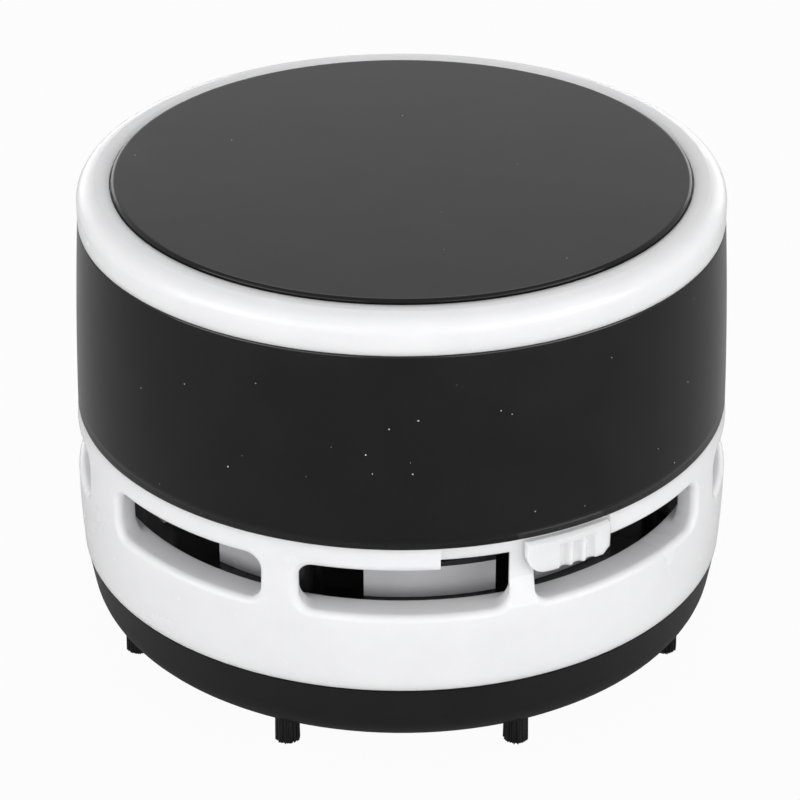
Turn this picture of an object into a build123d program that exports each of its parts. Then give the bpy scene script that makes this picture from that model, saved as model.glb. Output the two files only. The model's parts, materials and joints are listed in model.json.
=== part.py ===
from build123d import *
from math import cos, degrees, hypot, radians, sin, sqrt
import os

# Desktop vacuum cleaner: a round battery-driven crumb sweeper standing on bristle tufts.
# Millimetres, +Z up.  The origin is on the desk below the middle of the body, the switch
# faces the front (-Y), and azimuths are degrees turned anticlockwise from +X.

# ---- Driving sizes: heights, stacked up from the desk ----
tuft_reach = 2.9        # desk to the flat underside of the dust pan
pan_height = 8.85       # flat underside to the rim of the dust pan
seam_gap = 0.3          # shadow line between dust pan and vent ring
vent_height = 19.75     # white ring with the exhaust slots
floor_drop = 1.4        # vent ring's upper edge down to the fan chamber's roof
lid_height = 4.65       # white ring of the battery lid, seat to crown
disc_proud = 0.3        # how far the top disc stands above the crown

# ---- Driving sizes: outer form ----
belly_height = 8.0      # lower edge of the vent ring to its widest place
foot_inset = 0.3        # how much narrower the vent ring is at its lower edge
lip_inset = 0.4         # how much narrower it is at its upper edge
band_inset = 1.15       # how much the band narrows over its height
band_bulge = 0.15       # how far the band's side swells off a straight line
pan_inset = 0.1         # the dust pan's rim stands back from the vent ring
pan_lean = 1.5          # how much narrower the dust pan's side is at the underside
pan_round = 5.0         # rounding under the dust pan
pan_corner = 3.0        # rounding inside the dust pan
shoulder_round = 2.2    # rounding of the lid's shoulder
crown_width = 4.15      # lid's side to the edge of the disc recess
crown_fall = 0.25       # how far the crown dips towards the disc
disc_thickness = 1.8
disc_edge = 0.5         # rounding of the disc's rim
band_chamfer = 0.3      # bevel round the band's upper edge

# ---- Driving sizes: walls ----
vent_wall = 2.9
band_wall = 1.5
frame_wall = 1.5
pan_wall = 1.8
collar_wall = 1.4
plate = 1.6             # floors and webs
rib = 1.2               # moulded ribs, saddles and sleeves

# ---- Driving sizes: clearances ----
slip_gap = 0.2          # between collars that plug together by hand
glide_gap = 0.25        # round the sliding knob
press_gap = 0.02        # between pressed-together round pieces
seat_gap = 0.3          # round pieces that drop into a seat
bearing_gap = 0.04      # shaft in its bushing
near = 0.1              # tolerance when edges are chosen by their place

# ---- Driving sizes: exhaust slots ----
front_slots = [(-146.6, -114.3), (-106.9, -72.3), (-67.0, -29.6)]    # azimuths, from and to
rear_slot_count = 5
rear_slot_arc = 35.0    # degrees
rear_pitch = 46.1       # degrees
sill_height = 10.55     # vent ring's lower edge to the sills
slot_height = 6.1
slot_corner = 1.9
slot_soft = 0.8         # rounding round the mouths

# ---- Driving sizes: switch ----
notch_from = -83.7      # azimuths of the notch in the slots' lip
notch_to = -53.2
notch_depth = 1.0
notch_fade = 3.6        # height over which the switch post comes out to the belly again
strip_height = 1.85     # what stays of the lip inside the notch
knob_arc = 15.5         # degrees
knob_height = 4.3
knob_stand = 0.25       # how far the knob's face stands out of the belly
knob_slope = 0.35       # height of the sloping top of its face
knob_lean = 0.5         # how far that slope leans back
knob_chamfer = 0.9      # bevel at its lower right corner
knob_round = 2.6        # rounding of its lower left corner
groove_count = 3
groove_pitch = 2.5      # degrees
groove_inset = 3.8      # degrees from the knob's right edge to the first groove
groove_radius = 0.85
groove_depth = 0.45
groove_height = 3.3
neck_arc = 3.0          # degrees
shoe_arc = 11.0         # degrees
shoe_depth = 1.5
shoe_height = 4.0
neck_height = 2.6
blade = 0.25            # sheet metal of the switch contacts
blade_width = 3.0
strip_width = 1.8
lap_arc = 1.4           # degrees that the blade laps the right strip when switched on
break_arc = 2.0         # degrees between the two strips

# ---- Driving sizes: fan ----
fan_height = 10.4       # clear height of the fan chamber
fan_gap = 4.5           # air space between the fan housing and the vent ring
fan_wall = 1.4
wall_gap = 4.7          # open gap between the housing's walls and the chamber's roof
flange = 0.8            # thickness of the ring that joins the walls on the cover
window_arcs = [(-150.0, -130.3), (-106.4, -97.6), (-70.8, -62.0), (-41.5, -18.0)]    # azimuths, from and to
rear_window_count = 5
rear_window_arc = 14.5      # degrees
rear_window_pitch = 36.0    # degrees
impeller_radius = 27.0
blade_count = 12
blade_root = 9.7        # radius where the blades begin
blade_sweep = 32.0      # degrees that a blade lags from root to tip
impeller_blade = 1.0
impeller_floor_gap = 1.5
hub_radius = 4.5
eye_radius = 13.0
column_radius = 1.75
column_stand = 0.8      # column centres outside the fan housing's wall

# ---- Driving sizes: dust pan, filter and inlet ----
seal_height = 1.0
seal_round = 0.25
ledge = 1.0             # apron inside the vent ring, from the fan cover up to the sills
spoke_width = 1.4
spoke_height = 1.0
spoke_count = 6
filter_radius = 27.0
filter_height = 2.9
filter_rim = 2.5
filter_round = 0.6
mesh_thickness = 0.8
inlet_bore = 8.5
inlet_wall = 1.5
inlet_flare = 4.0
chimney_height = 10.0
chimney_round = 0.5
inlet_flange = 3.3      # width of the flange that rests on the pan's floor
tuft_count = 8
tuft_inset = 4.6        # tufts' axes inside the dust pan's rim
tuft_radius = 1.5
tuft_root = 4.5         # bristle length held in the socket
tuft_spread = 0.12      # how much wider the cut ends are
socket_wall = 1.1

# ---- Driving sizes: battery cells (AA) and motor ----
cell_radius = 7.25
cell_length = 50.5
cell_edge = 0.6         # rounding of a cell's ends
nub_radius = 2.75
nub_height = 1.3
cell_gap = 0.4          # between a cell's trough and the motor's sleeve
cell_sink = 2.85        # top of the cells below the lid's seat
spring_length = 3.0     # contact spring, as pressed by a cell
spring_radius = 3.6
spring_turns = 3
spring_wire = 0.5
spring_cone = 30.0      # degrees
contact = 0.4           # sheet metal of the battery contacts
contact_width = 9.0
contact_height = 9.5
contact_corner = 1.1
tab_height = 3.2
motor_radius = 10.0
motor_flats = 15.1      # across the flats
motor_length = 23.5
end_cap_length = 4.0
motor_edge = 0.6        # rounding of the motor's ends
terminal_room = 1.1     # above the motor's terminals
body_room = 5.9         # corner of the cells' bay to the outside of the belly
nose_radius = 3.0
nose_height = 1.4
bushing_radius = 2.2
bushing_length = 3.0
shaft_radius = 1.0
shaft_chamfer = 0.25
plug_depth = 3.5        # lid's collar below its seat
saddle_offset = 17.0    # lid's saddles that hold the cells down
saddle_depth = 8.0
strap_width = 5.0
strap = 0.8
strap_room = 3.5        # motor's side to the middle of the strap's uprights
terminal_offset = 5.2
terminal_width = 2.2
terminal_height = 1.8
tab_end = 5.2           # solder tabs of the two outer contacts end this far from the middle
lead_room = 3.0         # strap's uprights to the holes for the leads
post_room = 6.0         # those holes to the tray's posts
post_radius = 3.0
screw_radius = 0.95
screw_head = 1.7
screw_head_height = 1.2
screw_edge = 0.4        # straight edge of a screw's head
recess_length = 1.9     # arms of its cross recess
recess_width = 0.5
recess_depth = 0.6
screw_grip = 4.0        # thread length in a boss
boss_wall = 1.4
lead_radius = 0.6
lead_bend = 2.0

# ---- Levels ----
z_pan = tuft_reach
z_pan_rim = z_pan + pan_height
z_vent = z_pan_rim + seam_gap
z_sill = z_vent + sill_height
z_slot_top = z_sill + slot_height
z_band = z_vent + vent_height
z_floor = z_band - floor_drop               # underside of the frame's floor
z_floor_top = z_floor + plate
z_motor = z_floor_top + motor_length
z_web = z_motor + terminal_height + terminal_room    # underside of the lid's web
z_disc = z_web + plate
z_top = z_disc + disc_thickness
z_crown = z_top - disc_proud
z_lid = z_crown - lid_height
z_strip = z_band - strip_height             # the strip's lower edge
z_cover_top = z_floor - fan_height
z_cover = z_cover_top - plate
z_collar = z_cover - seal_height
z_pan_floor = z_pan + pan_wall
z_filter = z_cover - filter_height
z_cell = z_lid - cell_sink - cell_radius    # axis of the cells, and the top of the tray's deck
z_deck = z_cell - plate
tab_z = z_cell + tab_height / 2              # middle of the contacts' solder tabs
z_tuft = z_pan + tuft_root                  # where the bristles end in their sockets
z_chimney = z_pan + chimney_height
z_blades = z_cover_top + impeller_floor_gap
z_impeller = z_floor - impeller_floor_gap / 2
z_nose = z_floor_top - nose_height
z_shaft_end = z_floor_top + motor_length / 2
z_cap = z_motor - end_cap_length
z_knob = z_band - 2 * glide_gap - knob_height
z_shoe_top = z_floor - 3 * blade
z_shoe = z_shoe_top - shoe_height
z_neck_top = z_strip - glide_gap
z_neck = z_neck_top - neck_height

# ---- Cells' bay, and the body's width that it asks for ----
bay_length = cell_length + spring_length
bay_end = bay_length / 2                                # faces of the contacts, either side
trough_end = bay_end + contact
trough_radius = cell_radius + seat_gap
cell_offset = motor_flats / 2 + seat_gap + rib + cell_gap + trough_radius
strap_side = motor_radius + strap_room
lead_hole_x = strap_side + lead_room
post_offset = lead_hole_x + post_room
vent_radius = hypot(bay_end, cell_offset + cell_radius) + body_room     # widest place of the body

# ---- Radii ----
vent_foot = vent_radius - foot_inset
vent_lip = vent_radius - lip_inset
vent_bore = vent_radius - vent_wall
band_top = vent_lip - band_inset
pan_rim = vent_foot - pan_inset
collar_radius = vent_bore - slip_gap
collar_bore = collar_radius - collar_wall
cover_radius = vent_bore - slip_gap
frame_top = band_top - band_wall - press_gap
lid_bore = frame_top - frame_wall
crown_radius = band_top - crown_width
disc_radius = crown_radius - slip_gap
recess_face = vent_radius - notch_depth     # the strip and the post behind the knob
knob_back = recess_face + glide_gap
knob_face = vent_radius + knob_stand
shoe_face = vent_bore - 2 * glide_gap
apron_bore = vent_bore - ledge
fan_wall_radius = vent_bore - fan_gap
column_circle = fan_wall_radius + column_stand
tuft_circle = pan_rim - tuft_inset
tray_radius = lid_bore - seat_gap
inlet_mouth = inlet_bore + inlet_flare
inlet_plug = inlet_mouth + rib              # hole in the pan for the nozzle
strip_circle = shoe_face - blade_width + strip_width / 2
lead_hole_y = tab_end + 2 * lead_radius

# ---- Azimuths ----
rear_middles = [90 + rear_pitch * (step - (rear_slot_count - 1) / 2) for step in range(rear_slot_count)]
slots = front_slots + [(middle - rear_slot_arc / 2, middle + rear_slot_arc / 2) for middle in rear_middles]
post_azimuths = [(slots[step][1] + slots[step + 1][0]) / 2 for step in range(len(slots) - 1)]
column_azimuths = [post_azimuths[0]] + post_azimuths[2::2]
rear_steps = [step - (rear_window_count - 1) / 2 for step in range(rear_window_count)]
windows = window_arcs + [
    (90 + rear_window_pitch * step - rear_window_arc / 2, 90 + rear_window_pitch * step + rear_window_arc / 2)
    for step in rear_steps
]
tuft_azimuths = [-90 + 360 / tuft_count * (step + 0.5) for step in range(tuft_count)]
switch_slot_from = front_slots[2][0]                    # the switch post's edge, which the neck meets
glide_arc = degrees(glide_gap / vent_radius)
knob_to = notch_to - 2 * glide_arc
knob_from = knob_to - knob_arc
neck_to = knob_to - glide_arc
neck_from = neck_to - neck_arc
shoe_from = neck_to - shoe_arc
bridge_to = neck_from - glide_arc
slide_arc = neck_from - switch_slot_from - glide_arc    # travel of the knob, clockwise from above
groove_azimuths = [knob_to - groove_inset - groove_pitch * step for step in range(groove_count)]
right_strip_from = bridge_to - slide_arc - lap_arc
strip_arcs = [
    (shoe_from - slide_arc - shoe_arc, right_strip_from - break_arc),
    (right_strip_from, neck_to + shoe_arc),
]
strip_holes = [strip_arcs[0][0] + break_arc, strip_arcs[1][1] - break_arc]


def around(radius, azimuth, level):
    """A point at a radius, an azimuth and a level."""
    return (radius * cos(radians(azimuth)), radius * sin(radians(azimuth)), level)


def sector(inner, outer, low, high, start, stop, corner=0.0):
    """A block bent about the vertical axis between two radii, levels and azimuths."""
    with BuildPart(mode=Mode.PRIVATE) as block:
        with BuildSketch(Plane.XZ.rotated((0, 0, start))):
            with Locations(((inner + outer) / 2, (low + high) / 2)):
                Rectangle(outer - inner, high - low)
        revolve(axis=Axis.Z, revolution_arc=stop - start)
        if corner > 0:
            straight = block.edges().filter_by(GeomType.LINE)
            fillet(straight.filter_by(Axis.Z, reverse=True), radius=corner)
    return block.part


def straight_cut(slot, start, stop, low, high, corner=0.0):
    """A cutter from azimuth start to stop of the belly, pulled straight out along a slot's middle."""
    middle = (slot[0] + slot[1]) / 2
    left = vent_radius * sin(radians(start - middle))
    right = vent_radius * sin(radians(stop - middle))
    inside = (apron_bore - ledge) * cos(radians((slot[1] - slot[0]) / 2))
    outlet = Plane(
        origin=around(inside, middle, (low + high) / 2),
        x_dir=around(1, middle + 90, 0),
        z_dir=around(1, middle, 0),
    )
    with BuildPart(mode=Mode.PRIVATE) as cutter:
        with BuildSketch(outlet):
            with Locations(((left + right) / 2, 0)):
                Rectangle(right - left, high - low)
        extrude(amount=vent_radius + vent_wall - inside)
        if corner > 0:
            along = cutter.edges().filter_by(Plane(origin=(0, 0, 0), z_dir=outlet.z_dir), reverse=True)
            fillet(along, radius=corner)
    return cutter.part


def tube(inner, outer, low, high):
    """A plain ring about the vertical axis."""
    with BuildPart(mode=Mode.PRIVATE) as ring:
        with BuildSketch(Plane.XY.offset(low)):
            Circle(outer)
            if inner > 0:
                Circle(inner, mode=Mode.SUBTRACT)
        extrude(amount=high - low)
    return ring.part


def motor_outline(growth=0.0):
    """Round motor can with two flats facing the cells, grown all round."""
    with BuildSketch(mode=Mode.PRIVATE) as outline:
        Circle(motor_radius + growth)
        Rectangle(4 * motor_radius, motor_flats + 2 * growth, mode=Mode.INTERSECT)
    return outline.sketch


def screw(length, up):
    """Pan-head screw with a cross recess; its head's seat is at the origin."""
    way = 1 if up else -1
    with BuildPart(mode=Mode.PRIVATE) as fastener:
        with BuildSketch(Plane.XZ):
            with BuildLine():
                crown = TangentArc(
                    (0, -way * screw_head_height),
                    (screw_head, -way * screw_edge),
                    tangent=(1, 0),
                )
                Polyline(
                    crown @ 1,
                    (screw_head, 0),
                    (screw_radius, 0),
                    (screw_radius, way * (length - screw_radius)),
                    (0, way * length),
                    crown @ 0,
                )
            make_face()
        revolve(axis=Axis.Z)
        with BuildSketch(Plane.XY.offset(-way * screw_head_height)):
            Rectangle(recess_length, recess_width)
            Rectangle(recess_width, recess_length)
        extrude(amount=way * recess_depth, mode=Mode.SUBTRACT)
    return fastener.part


# ---- Dust pan: rounded bowl with a plug-in collar, tuft sockets and the inlet's hole ----
with BuildPart() as dust_pan:
    with BuildSketch(Plane.XZ):
        with BuildLine():
            Polyline(
                (inlet_plug, z_pan),
                (pan_rim - pan_lean, z_pan),
                (pan_rim, z_pan_rim),
                (collar_radius, z_pan_rim),
                (collar_radius, z_collar),
                (collar_bore, z_collar),
                (collar_bore, z_pan_floor),
                (inlet_plug, z_pan_floor),
                close=True,
            )
        profile = make_face()
        fillet(profile.vertices().sort_by_distance((pan_rim - pan_lean, z_pan))[0], radius=pan_round)
        fillet(profile.vertices().sort_by_distance((collar_bore, z_pan_floor))[0], radius=pan_corner)
    revolve(axis=Axis.Z)
    with BuildSketch(Plane.XY.offset(z_pan_floor)):
        with PolarLocations(tuft_circle, tuft_count, start_angle=tuft_azimuths[0]):
            Circle(tuft_radius + socket_wall)
        Circle(collar_radius, mode=Mode.INTERSECT)
    extrude(amount=z_tuft + socket_wall - z_pan_floor)
    with BuildSketch(Plane.XY):
        with PolarLocations(tuft_circle, tuft_count, start_angle=tuft_azimuths[0]):
            Circle(tuft_radius + press_gap)
    extrude(amount=z_tuft, mode=Mode.SUBTRACT)
dust_pan.part.label = "dust_pan"

with BuildPart() as inlet_nozzle:
    with BuildSketch(Plane.XZ):
        with BuildLine():
            straight = Line((inlet_bore, z_chimney), (inlet_bore, z_pan + inlet_flare))
            flare = TangentArc(straight @ 1, (inlet_mouth, z_pan), tangent=(0, -1))
            plug = inlet_plug - press_gap
            Polyline(
                flare @ 1,
                (plug, z_pan),
                (plug, z_pan_floor),
                (plug + inlet_flange, z_pan_floor),
                (plug + inlet_flange, z_pan_floor + rib),
                (inlet_bore + inlet_wall, z_pan_floor + rib),
                (inlet_bore + inlet_wall, z_chimney),
                straight @ 0,
            )
        make_face()
    revolve(axis=Axis.Z)
    fillet(inlet_nozzle.edges().group_by(Axis.Z)[-1], radius=chimney_round)
inlet_nozzle.part.label = "inlet_nozzle"

with BuildPart() as one_tuft:
    with BuildSketch(Plane.XZ):
        with BuildLine():
            Polyline(
                (0, 0),
                (tuft_radius + tuft_spread, 0),
                (tuft_radius, z_pan),
                (tuft_radius, z_tuft),
                (0, z_tuft),
                close=True,
            )
        make_face()
    revolve(axis=Axis.Z)

with BuildPart() as brush_tufts:
    with PolarLocations(tuft_circle, tuft_count, start_angle=tuft_azimuths[0]):
        add(one_tuft.part)
brush_tufts.part.label = "brush_tufts"

with BuildPart() as dust_seal:
    add(tube(collar_bore + press_gap, collar_radius, z_collar, z_cover))
    fillet(dust_seal.edges().group_by(Axis.Z)[-1], radius=seal_round)
dust_seal.part.label = "dust_seal"

# ---- Vent ring: barrel-shaped wall with eight slots and the notch for the knob ----
with BuildPart() as vent_ring:
    with BuildSketch(Plane.XZ):
        with BuildLine():
            belly = ThreePointArc(
                (vent_foot, z_vent),
                (vent_radius, z_vent + belly_height),
                (vent_lip, z_band),
            )
            Polyline(
                belly @ 1,
                (vent_bore, z_band),
                (vent_bore, z_sill),
                (apron_bore, z_sill),
                (apron_bore, z_cover_top),
                (vent_bore, z_cover_top),
                (vent_bore, z_vent),
                belly @ 0,
            )
        make_face()
    revolve(axis=Axis.Z)
    for slot in slots:
        add(straight_cut(slot, slot[0], slot[1], z_sill, z_slot_top, slot_corner), mode=Mode.SUBTRACT)
    mouths = vent_ring.edges().filter_by(
        lambda edge: (edge @ 0.5).Z > z_sill - near
        and (edge @ 0.5).Z < z_slot_top + near
        and sqrt((edge @ 0.5).X ** 2 + (edge @ 0.5).Y ** 2) > vent_radius - lip_inset
    )
    fillet(mouths, radius=slot_soft)
    z_fade = z_sill + notch_fade
    with BuildSketch(Plane.XZ.rotated((0, 0, notch_from))):
        with BuildLine():
            Polyline(
                (recess_face, z_band),
                (vent_radius + notch_depth, z_band),
                (vent_radius + notch_depth, z_fade - 2 * notch_fade),
                (recess_face, z_fade),
                close=True,
            )
        make_face()
    revolve(axis=Axis.Z, revolution_arc=notch_to - notch_from, mode=Mode.SUBTRACT)
    z_open = z_slot_top - slot_corner
    middle_slot, switch_slot = front_slots[1:]
    add(straight_cut(middle_slot, notch_from, middle_slot[1], z_open, z_strip), mode=Mode.SUBTRACT)
    add(straight_cut(switch_slot, switch_slot[0], notch_to, z_open, z_strip), mode=Mode.SUBTRACT)
vent_ring.part.label = "vent_ring"

with BuildPart() as trim_band:
    with BuildSketch(Plane.XZ):
        with BuildLine():
            swell = (vent_lip + band_top) / 2 + band_bulge
            skin = ThreePointArc((vent_lip, z_band), (swell, (z_band + z_lid) / 2), (band_top, z_lid))
            Polyline(skin @ 1, (band_top - band_wall, z_lid), (vent_lip - band_wall, z_band), skin @ 0)
        make_face()
    revolve(axis=Axis.Z)
    chamfer(trim_band.edges().group_by(Axis.Z)[-1].sort_by(SortBy.RADIUS)[-1], length=band_chamfer)
trim_band.part.label = "trim_band"

# ---- Inner frame: fan chamber's roof, outer wall, motor seat, screw bosses and tray posts ----
with BuildPart() as inner_frame:
    with BuildSketch(Plane.XZ):
        with BuildLine():
            Polyline(
                (nose_radius + press_gap, z_floor),
                (cover_radius, z_floor),
                (cover_radius, z_band),
                (vent_lip - band_wall - press_gap, z_band),
                (frame_top, z_lid),
                (lid_bore, z_lid),
                (lid_bore, z_floor_top),
                (nose_radius + press_gap, z_floor_top),
                close=True,
            )
        make_face()
    revolve(axis=Axis.Z)
    with BuildSketch(Plane.XY.offset(z_floor_top)):
        add(motor_outline(slip_gap + rib))
        add(motor_outline(slip_gap), mode=Mode.SUBTRACT)
        with Locations(*[around(column_circle, azimuth, 0) for azimuth in column_azimuths]):
            Circle(screw_radius + boss_wall)
    extrude(amount=screw_grip)
    with BuildSketch(Plane.XY.offset(z_floor_top)):
        with Locations((-post_offset, 0), (post_offset, 0)):
            Circle(post_radius)
    extrude(amount=z_deck - z_floor_top)
    with BuildSketch(Plane.XY.offset(z_floor)):
        with Locations(*[around(column_circle, azimuth, 0) for azimuth in column_azimuths]):
            Circle(screw_radius + press_gap)
        with Locations(*[around(strip_circle, azimuth, 0) for azimuth in strip_holes]):
            Circle(lead_radius + slip_gap)
    extrude(amount=plate + screw_grip, mode=Mode.SUBTRACT)
    with BuildSketch(Plane.XY.offset(z_deck)):
        with Locations((-post_offset, 0), (post_offset, 0)):
            Circle(screw_radius + press_gap)
    extrude(amount=-screw_grip, mode=Mode.SUBTRACT)
inner_frame.part.label = "inner_frame"

# ---- Fan: housing with windows, bottom cover with a guarded eye, filter ----
with BuildPart() as fan_housing:
    add(tube(fan_wall_radius - fan_wall, fan_wall_radius, z_cover_top, z_floor - wall_gap))
    inner, outer = fan_wall_radius - 2 * fan_wall, fan_wall_radius + fan_wall
    for start, stop in windows:
        add(sector(inner, outer, z_cover_top, z_floor, start, stop), mode=Mode.SUBTRACT)
    add(tube(fan_wall_radius - fan_wall, apron_bore - seat_gap, z_cover_top, z_cover_top + flange))
    with BuildSketch(Plane.XY.offset(z_cover_top)):
        with Locations(*[around(column_circle, azimuth, 0) for azimuth in column_azimuths]):
            Circle(column_radius)
    extrude(amount=fan_height)
    with BuildSketch(Plane.XY.offset(z_cover_top)):
        with Locations(*[around(column_circle, azimuth, 0) for azimuth in column_azimuths]):
            Circle(screw_radius + slip_gap)
    extrude(amount=fan_height, mode=Mode.SUBTRACT)
fan_housing.part.label = "fan_housing"

with BuildPart() as fan_cover:
    with BuildSketch(Plane.XY.offset(z_cover)):
        Circle(cover_radius)
        Circle(eye_radius, mode=Mode.SUBTRACT)
        with Locations(*[around(column_circle, azimuth, 0) for azimuth in column_azimuths]):
            Circle(screw_radius + slip_gap, mode=Mode.SUBTRACT)
    extrude(amount=plate)
    with BuildSketch(Plane.XY.offset(z_cover)):
        with PolarLocations(0, spoke_count):
            with Locations((eye_radius / 2, 0)):
                Rectangle(eye_radius + rib, rib)
        Circle(hub_radius + rib)
        Circle(hub_radius, mode=Mode.SUBTRACT)
    extrude(amount=rib)
    holder = filter_radius + slip_gap
    add(tube(holder, holder + rib, z_cover - filter_height / 2, z_cover))
fan_cover.part.label = "fan_cover"

with BuildPart() as filter_frame:
    with BuildSketch(Plane.XY.offset(z_filter)):
        Circle(filter_radius)
        Circle(filter_radius - filter_rim, mode=Mode.SUBTRACT)
    extrude(amount=filter_height)
    with BuildSketch(Plane.XY.offset(z_filter)):
        with PolarLocations(0, spoke_count):
            with Locations((filter_radius / 2, 0)):
                Rectangle(filter_radius - filter_rim / 2, spoke_width)
        Circle(hub_radius)
    extrude(amount=spoke_height)
    rounds = filter_frame.edges().group_by(Axis.Z)[0].filter_by(GeomType.CIRCLE)
    fillet(rounds.sort_by(SortBy.RADIUS)[-1], radius=filter_round)
filter_frame.part.label = "filter_frame"

with BuildPart() as filter_mesh:
    z_mesh = z_filter + spoke_height
    add(tube(0, filter_radius - filter_rim, z_mesh, z_mesh + mesh_thickness))
filter_mesh.part.label = "filter_mesh"

# ---- Rotor: shaft and backward-curved impeller ----
with BuildPart() as impeller:
    with BuildSketch(Plane.XY.offset(z_impeller - impeller_blade)):
        Circle(impeller_radius)
    extrude(amount=impeller_blade)
    with BuildSketch(Plane.XY.offset(z_blades)):
        Circle(hub_radius)
    extrude(amount=z_impeller - z_blades)
    with BuildSketch(Plane.XY.offset(z_blades)):
        with PolarLocations(0, blade_count):
            with BuildLine():
                tip = impeller_radius - impeller_blade
                ThreePointArc(
                    (blade_root, 0),
                    around((blade_root + tip) / 2, -blade_sweep / 4, 0)[0:2],
                    around(tip, -blade_sweep, 0)[0:2],
                )
            trace(line_width=impeller_blade)
    extrude(amount=z_impeller - z_blades)
    with BuildSketch(Plane.XY.offset(z_blades)):
        Circle(shaft_radius + press_gap)
    extrude(amount=z_impeller - z_blades, mode=Mode.SUBTRACT)
impeller.part.label = "impeller"

with BuildPart() as motor_shaft:
    add(tube(0, shaft_radius, z_blades, z_shaft_end))
    chamfer(motor_shaft.edges().group_by(Axis.Z)[0], length=shaft_chamfer)
motor_shaft.part.label = "motor_shaft"

# ---- Motor: can, bushing, end cap, terminals and the strap that holds it down ----
with BuildPart() as motor_can:
    with BuildSketch(Plane.XY.offset(z_floor_top)):
        add(motor_outline())
    extrude(amount=motor_length - end_cap_length)
    fillet(motor_can.edges().group_by(Axis.Z)[0], radius=motor_edge)
    add(tube(0, nose_radius, z_nose, z_floor_top + rib))
    add(tube(0, bushing_radius + press_gap, z_nose, z_nose + bushing_length), mode=Mode.SUBTRACT)
    add(tube(0, shaft_radius + slip_gap, z_floor_top, z_shaft_end + slip_gap), mode=Mode.SUBTRACT)
motor_can.part.label = "motor_can"

with BuildPart() as motor_bushing:
    add(tube(shaft_radius + bearing_gap, bushing_radius, z_nose, z_nose + bushing_length))
motor_bushing.part.label = "motor_bushing"

with BuildPart() as motor_end_cap:
    with BuildSketch(Plane.XY.offset(z_cap)):
        add(motor_outline(-slip_gap))
    extrude(amount=end_cap_length)
    fillet(motor_end_cap.edges().group_by(Axis.Z)[-1], radius=motor_edge)
motor_end_cap.part.label = "motor_end_cap"

with BuildPart() as motor_terminals:
    with BuildSketch(Plane.XY.offset(z_motor)):
        with Locations((0, -terminal_offset), (0, terminal_offset)):
            Rectangle(terminal_width, contact)
    extrude(amount=terminal_height)
motor_terminals.part.label = "motor_terminals"

with BuildPart() as motor_strap:
    with BuildSketch(Plane.XZ):
        with BuildLine():
            Polyline(
                (post_offset + post_radius, z_cell + strap / 2),
                (strap_side, z_cell + strap / 2),
                (strap_side, z_motor + strap / 2),
                (-strap_side, z_motor + strap / 2),
                (-strap_side, z_cell + strap / 2),
                (-post_offset - post_radius, z_cell + strap / 2),
            )
        trace(line_width=strap)
    extrude(amount=strap_width / 2, both=True)
    fillet(motor_strap.edges().filter_by(Axis.Y).sort_by(Axis.Z)[-2:], radius=strap)
    with BuildSketch(Plane.XY.offset(z_cell)):
        with Locations((-post_offset, 0), (post_offset, 0)):
            Circle(screw_radius + slip_gap)
    extrude(amount=strap, mode=Mode.SUBTRACT)
motor_strap.part.label = "motor_strap"

# ---- Battery tray: deck with two troughs, end walls and the motor's sleeve ----
with BuildPart() as battery_tray:
    with BuildSketch(Plane.XY.offset(z_deck)):
        Circle(tray_radius)
    extrude(amount=plate)
    add(tube(tray_radius - rib, tray_radius, z_cell - cell_radius, z_cell))
    with BuildSketch(Plane.XY.offset(z_deck - rib)):
        add(motor_outline(seat_gap + rib))
    extrude(amount=plate + 2 * rib)
    with BuildSketch(Plane.YZ):
        with Locations((-cell_offset, z_cell), (cell_offset, z_cell)):
            Circle(trough_radius + rib)
        with Locations((0, z_cell + cell_radius + rib)):
            Rectangle(4 * tray_radius, 2 * (cell_radius + rib), mode=Mode.SUBTRACT)
    extrude(amount=trough_end + rib, both=True)
    with BuildSketch(Plane.XY.offset(z_cell)):
        Circle(tray_radius)
    extrude(amount=2 * cell_radius, both=True, mode=Mode.INTERSECT)
    with BuildSketch(Plane.XY.offset(z_cell)):
        with GridLocations(2 * trough_end + rib, 2 * cell_offset, 2, 2):
            Rectangle(rib, contact_width + 2 * rib)
    extrude(amount=contact_height / 2)
    with BuildSketch(Plane.YZ):
        with Locations((-cell_offset, z_cell), (cell_offset, z_cell)):
            Circle(trough_radius)
    extrude(amount=trough_end, both=True, mode=Mode.SUBTRACT)
    with BuildSketch(Plane.XY.offset(z_deck - rib)):
        add(motor_outline(seat_gap))
        with Locations((-post_offset, 0), (post_offset, 0)):
            Circle(screw_radius + slip_gap)
        with Locations((-lead_hole_x, lead_hole_y), (lead_hole_x, lead_hole_y)):
            Circle(lead_radius + slip_gap)
    extrude(amount=plate + 2 * rib, mode=Mode.SUBTRACT)
battery_tray.part.label = "battery_tray"

# ---- Cells: both lie along X, front plus to the right, rear plus to the left ----
def cell(way):
    """An AA cell at its place along X; way is 1 with its plus end at +X."""
    start = -way * (bay_end - spring_length)
    with BuildPart(mode=Mode.PRIVATE) as battery:
        with BuildSketch(Plane.YZ.offset(start)):
            with Locations((-way * cell_offset, z_cell)):
                Circle(cell_radius)
        extrude(amount=way * (cell_length - nub_height))
        fillet(battery.edges().filter_by(GeomType.CIRCLE), radius=cell_edge)
        with BuildSketch(Plane.YZ.offset(start + way * (cell_length - nub_height))):
            with Locations((-way * cell_offset, z_cell)):
                Circle(nub_radius)
        extrude(amount=way * nub_height)
    return battery.part


front_cell = cell(1)
front_cell.label = "front_cell"
rear_cell = cell(-1)
rear_cell.label = "rear_cell"


def contact_plate(end, side, tab_to):
    """A cell's contact at one end of the bay, with a tab above the deck reaching tab_to along Y."""
    with BuildPart(mode=Mode.PRIVATE) as sheet:
        with BuildSketch(Plane.YZ.offset(end * bay_end)):
            with Locations((side, z_cell)):
                RectangleRounded(contact_width, contact_height, contact_corner)
            with Locations(((side + tab_to) / 2, tab_z)):
                Rectangle(abs(tab_to - side), tab_height)
        extrude(amount=end * contact)
    return sheet.part


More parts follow.
